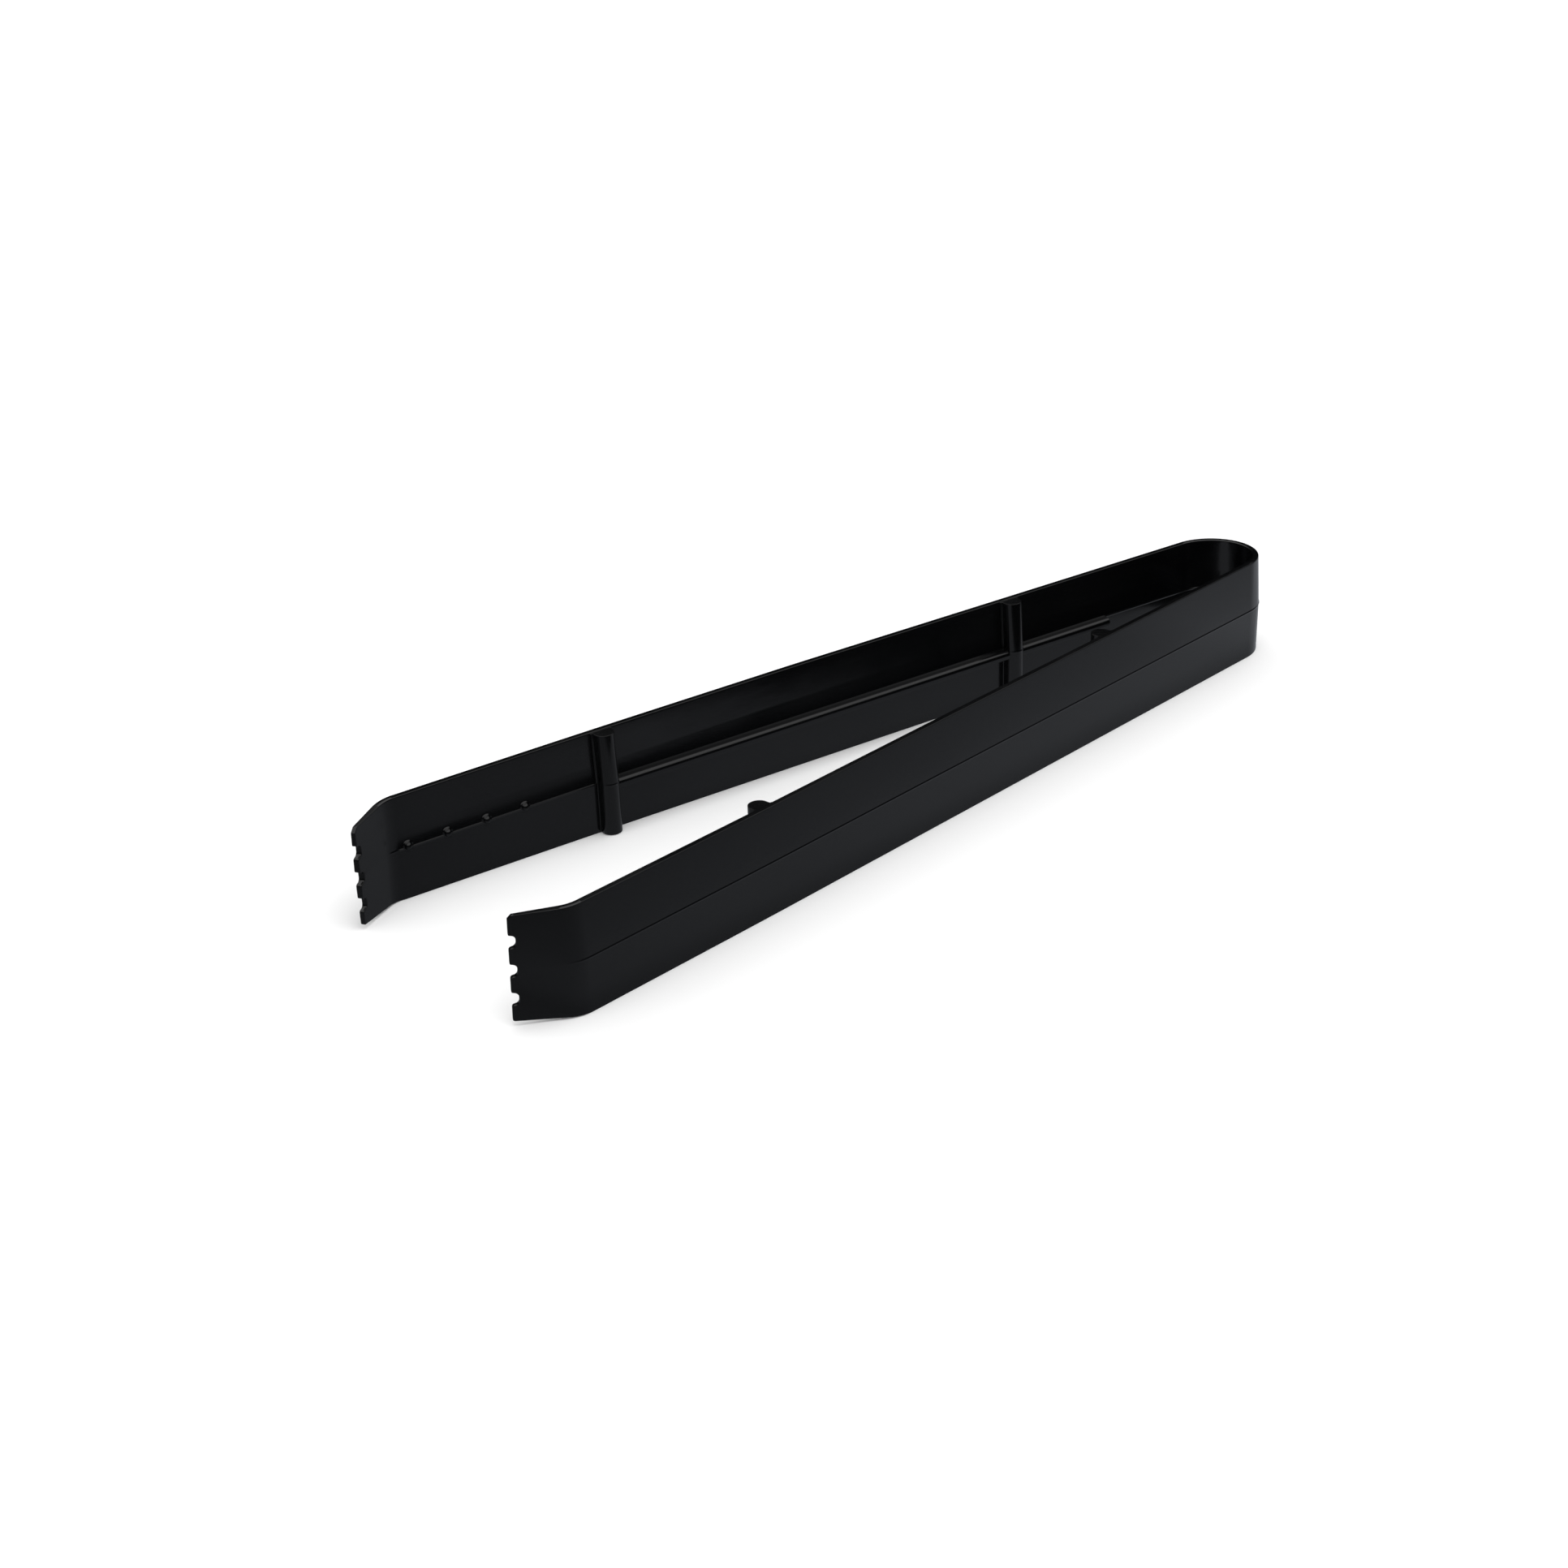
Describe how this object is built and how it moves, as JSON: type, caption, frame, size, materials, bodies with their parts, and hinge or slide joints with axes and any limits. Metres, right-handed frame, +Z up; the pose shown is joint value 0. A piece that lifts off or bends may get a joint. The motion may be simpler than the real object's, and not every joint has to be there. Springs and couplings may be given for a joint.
{
  "type": "ice tongs",
  "caption": "One-piece black plastic serving tongs: a springy U bow, two tapered-section arms with inner ribs and posts, and inward-bent toothed jaws.",
  "frame": {"origin": "on the resting plane, midway along the tongs' length, on the plane between the two arms", "axes": "+X along the tongs towards the bow, +Y towards the rear arm, +Z up across the width of the strips"},
  "size_m": [0.2275, 0.0642, 0.023],
  "materials": {
    "black_plastic": "glossy injection-moulded polystyrene"
  },
  "bodies": {
    "bow": {"spring_bow": "black_plastic"},
    "front_arm": {"front_arm": "black_plastic", "front_jaw": "black_plastic", "front_post_bow_side": "black_plastic", "front_post_jaw_side": "black_plastic", "front_rib": "black_plastic", "front_rib_tail": "black_plastic", "front_nub_1": "black_plastic", "front_nub_2": "black_plastic", "front_nub_3": "black_plastic", "front_nub_4": "black_plastic"},
    "rear_arm": {"rear_arm": "black_plastic", "rear_jaw": "black_plastic", "rear_post_bow_side": "black_plastic", "rear_post_jaw_side": "black_plastic", "rear_rib": "black_plastic", "rear_rib_tail": "black_plastic", "rear_nub_1": "black_plastic", "rear_nub_2": "black_plastic", "rear_nub_3": "black_plastic", "rear_nub_4": "black_plastic"}
  },
  "joints": [
    {"name": "front_hinge", "type": "hinge", "parent": "bow", "child": "front_arm", "pos_m": [0.10971, -0.007, 0], "axis": [0, 0, -1], "range_deg": [0, 6.3], "stiffness_Nm_per_rad": 1.5},
    {"name": "rear_hinge", "type": "hinge", "parent": "bow", "child": "rear_arm", "pos_m": [0.10971, 0.007, 0], "axis": [0, 0, 1], "range_deg": [0, 6.3], "stiffness_Nm_per_rad": 1.5}
  ],
  "couplings": [
    {"joint": "rear_hinge", "follows": "front_hinge", "ratio": 1}
  ]
}
